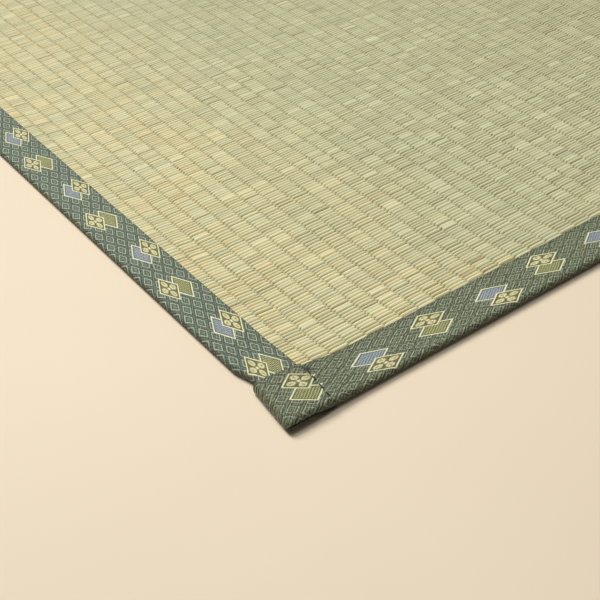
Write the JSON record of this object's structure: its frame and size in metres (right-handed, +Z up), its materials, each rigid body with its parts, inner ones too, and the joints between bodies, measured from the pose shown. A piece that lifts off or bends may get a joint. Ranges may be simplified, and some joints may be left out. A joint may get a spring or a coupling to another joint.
{
  "type": "bound rush mat",
  "caption": "Flat rectangular floor mat: a woven rush panel with ribbed warps, its edges bound in folded strips of patterned cloth that overlap at the corners.",
  "frame": {"origin": "on the floor under the middle of the mat", "axes": "+X along the rushes, +Y along the warps, +Z up from the floor"},
  "size_m": [0.9068, 0.6, 0.0076],
  "materials": {
    "rush": "dried rush stems, woven, pale straw to green, faint sheen",
    "binding_cloth": "figured twill cloth, dark grey-green with small diamonds, slight sheen"
  },
  "bodies": {
    "root": {"rush_panel": "rush", "binding_left": "binding_cloth", "binding_right": "binding_cloth", "binding_near": "binding_cloth", "binding_far": "binding_cloth"}
  },
  "joints": []
}
